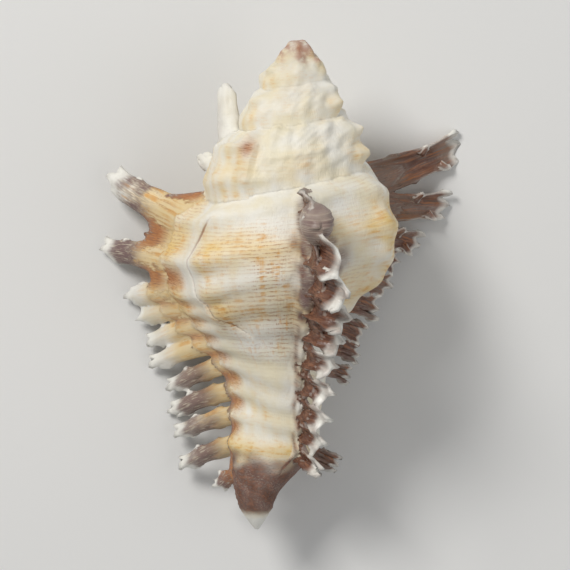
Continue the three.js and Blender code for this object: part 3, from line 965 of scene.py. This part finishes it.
class Paint:  # one material and its nodes
    def __init__(self, name):
        self.material = bpy.data.materials.new(name)
        self.material.use_nodes = True
        self.tree = self.material.node_tree
        self.surface = self.tree.nodes["Principled BSDF"]

    def add(self, kind, settings=None, values=None, output=0):
        node = self.tree.nodes.new(kind)
        for name, value in (settings or {}).items():
            setattr(node, name, value)
        for name, value in (values or {}).items():
            self.join(value, node.inputs[name])
        return Socket(self, node.outputs[output])

    def join(self, value, target):
        if isinstance(value, Socket):
            self.tree.links.new(value.link, target)
        else:
            target.default_value = value

    def mask(self, name):
        return self.add("ShaderNodeAttribute", {"attribute_name": name}, output="Fac")

    def blend(self, share, first, second):
        def shade(value):
            return value if isinstance(value, Socket) else (*value, 1)
        return self.add("ShaderNodeMix", {"data_type": "RGBA", "clamp_factor": True},
                        {0: share, 6: shade(first), 7: shade(second)}, output=2)

    def noise(self, place, scale, detail):
        return self.add("ShaderNodeTexNoise", {"noise_dimensions": "3D"},
                        {"Vector": place, "Scale": scale, "Detail": detail}, output="Fac")

    def step(self, value, low, high):
        return self.add("ShaderNodeMapRange", {"interpolation_type": "SMOOTHSTEP"},
                        {"Value": value, "From Min": low, "From Max": high})


def shellPaint():
    p = Paint("murexShell")
    place = p.add("ShaderNodeTexCoord", output="Object")
    thread, growth = p.mask("thread"), p.mask("growth")
    brown, horn = p.mask("brown"), p.mask("horn")
    along = p.add("ShaderNodeCombineXYZ", {}, {"X": thread, "Y": growth * 0.12})
    across = p.add("ShaderNodeCombineXYZ", {}, {"X": thread * 0.3, "Y": growth})
    cloud = p.noise(place, 160, 3)
    speck = p.noise(place, 900, 4)
    grain = p.noise(place, 2600, 2)
    streak = p.noise(along, 2.0, 3)
    fineStreak = p.noise(along, 6.0, 2)
    lines = p.noise(across, 3.2, 3)
    broadLines = p.noise(across, 0.6, 2)

    shade = p.blend(p.step(cloud, 0.35, 0.7), colour["white"], colour["ivory"])
    tan = p.mask("tan")
    shade = p.blend(tan * (0.5 + 0.9 * streak), shade, colour["yellow"])
    shade = p.blend(tan * p.step(streak, 0.46, 0.72) * p.step(broadLines, 0.3, 0.62), shade, colour["tan"])
    wave = thread * (2 * math.pi / 0.66) + growth * 0.03 + streak * 5
    ridge = wave.maths("SINE", wave)
    threads = p.mask("threads") * p.step(ridge * 0.2 + fineStreak, 0.5, 0.78)
    threads = threads * p.step(lines + cloud, 0.7, 1.1)
    shade = p.blend(threads * 0.75, shade, colour["thread"])
    bars = p.mask("threads") * p.step(broadLines, 0.5, 0.66) * p.step(streak, 0.4, 0.6) * 0.5
    shade = p.blend(bars * 1.6, shade, colour["tan"])
    rust = p.mask("rust")
    shade = p.blend((rust * (0.6 + 0.8 * fineStreak)).clamped(), shade, colour["rust"])
    shade = p.blend(rust * p.step(fineStreak, 0.5, 0.7) * 0.7, shade, colour["brown"])
    fromStep = p.mask("step")
    crack = (1 - p.step(fromStep.maths("ABSOLUTE", fromStep), 0.06, 0.4)) * p.mask("stepShows")
    shade = p.blend(crack * p.step(cloud, 0.3, 0.55) * 0.85, shade, colour["thread"])

    # the brown mask holds the canal's and the fronds' colour, and also the painted shade under the lip fronds
    bark = p.blend(p.step(streak, 0.4, 0.65), colour["brown"], colour["horn"])
    shade = p.blend((brown * (0.8 + 0.5 * streak)).clamped(), shade, bark)
    shade = p.blend((brown * p.step(fineStreak, 0.48, 0.72) * 0.8).clamped(), shade, colour["dark"])
    shade = p.blend(horn * p.step(streak, 0.52, 0.7) * 0.55, shade, colour["rust"])
    purple = p.mask("purple")
    shade = p.blend(purple * p.step(cloud + fineStreak * 0.5, 0.45, 0.75), shade, colour["purple"])
    shade = p.blend(purple * p.step(fineStreak, 0.5, 0.66) * 0.45, shade, colour["ivory"])
    shade = p.blend(p.mask("pink") * p.step(speck, 0.25, 0.6), shade, colour["pink"])
    shade = p.blend((p.mask("white") * (0.75 + 0.6 * speck)).clamped(), shade, colour["white"])
    shade = p.blend(p.mask("inner") * (1 - brown), shade, colour["porcelain"])
    gloss = p.mask("gloss")
    p.join(shade, p.surface.inputs["Base Color"])
    p.join((0.52 - 0.28 * gloss + 0.16 * (speck - 0.5)).clamped(), p.surface.inputs["Roughness"])

    outside = 1 - p.mask("inner")
    height = ridge * 0.000007 * outside * p.step(cloud, 0.3, 0.7) + 0.00012 * (lines - 0.5) * outside
    height = height + 0.00008 * (speck - 0.5) + 0.00003 * grain - 0.00022 * crack
    bump = p.add("ShaderNodeBump", {}, {"Strength": 0.8, "Distance": 1.0, "Height": height})
    p.join(bump, p.surface.inputs["Normal"])
    p.surface.inputs["Specular IOR Level"].default_value = 0.45
    return p.material


shell.data.materials.clear()
shell.data.materials.append(shellPaint())
print("material")

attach(shell, "root")
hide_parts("shell")

# Floor, light and camera.
stage = {
    "floor": (0.80, 0.80, 0.79), "viewTilt": 11, "distance": 0.9, "viewWidth": 0.1026,
    "target": (-1.17, -48.6, 0),
}
deselectAll()
bpy.ops.mesh.primitive_plane_add(size=3, location=(0, 0, 0))
floor = bpy.context.object
floor.name = "floor"
floorPaint = bpy.data.materials.new("floorPaint")
floorPaint.use_nodes = True
paint = floorPaint.node_tree.nodes["Principled BSDF"].inputs
paint["Base Color"].default_value = (*stage["floor"], 1)
paint["Roughness"].default_value = 0.85
floor.data.materials.append(floorPaint)


def softLight(name, place, size, power, colour):
    light = bpy.data.lights.new(name, "AREA")
    light.size = size
    light.energy = power
    light.color = colour
    lamp = bpy.data.objects.new(name, light)
    bpy.context.scene.collection.objects.link(lamp)
    lamp.location = place
    lamp.rotation_euler = (-Vector(place)).to_track_quat("-Z", "Y").to_euler()


softLight("key", (-0.35, 0.4, 0.6), 0.26, 3.9, (1, 0.98, 0.95))
softLight("fill", (0.5, -0.1, 0.55), 0.6, 1.0, (0.96, 0.98, 1))
world = bpy.data.worlds.new("studio")
world.use_nodes = True
world.node_tree.nodes["Background"].inputs["Color"].default_value = (1, 1, 1, 1)
world.node_tree.nodes["Background"].inputs["Strength"].default_value = 0.28
bpy.context.scene.world = world

tilt = math.radians(stage["viewTilt"])
right = restTurn @ Vector((1, 0, 0))
upward = restTurn @ Vector((0, math.cos(tilt), -math.sin(tilt)))
backward = restTurn @ Vector((0, math.sin(tilt), math.cos(tilt)))
target = Vector(atRest(np.array(stage["target"], float)))
cameraData = bpy.data.cameras.new("camera")
cameraData.sensor_width = 36
cameraData.lens = 36 * stage["distance"] / stage["viewWidth"]
cameraData.clip_end = 10
camera = bpy.data.objects.new("camera", cameraData)
bpy.context.scene.collection.objects.link(camera)
camera.matrix_world = Matrix.Translation(target + backward * stage["distance"]) @ Matrix(
    (right, upward, backward)
).transposed().to_4x4()
bpy.context.scene.camera = camera
bpy.context.scene.view_settings.view_transform = "Standard"

print("done")
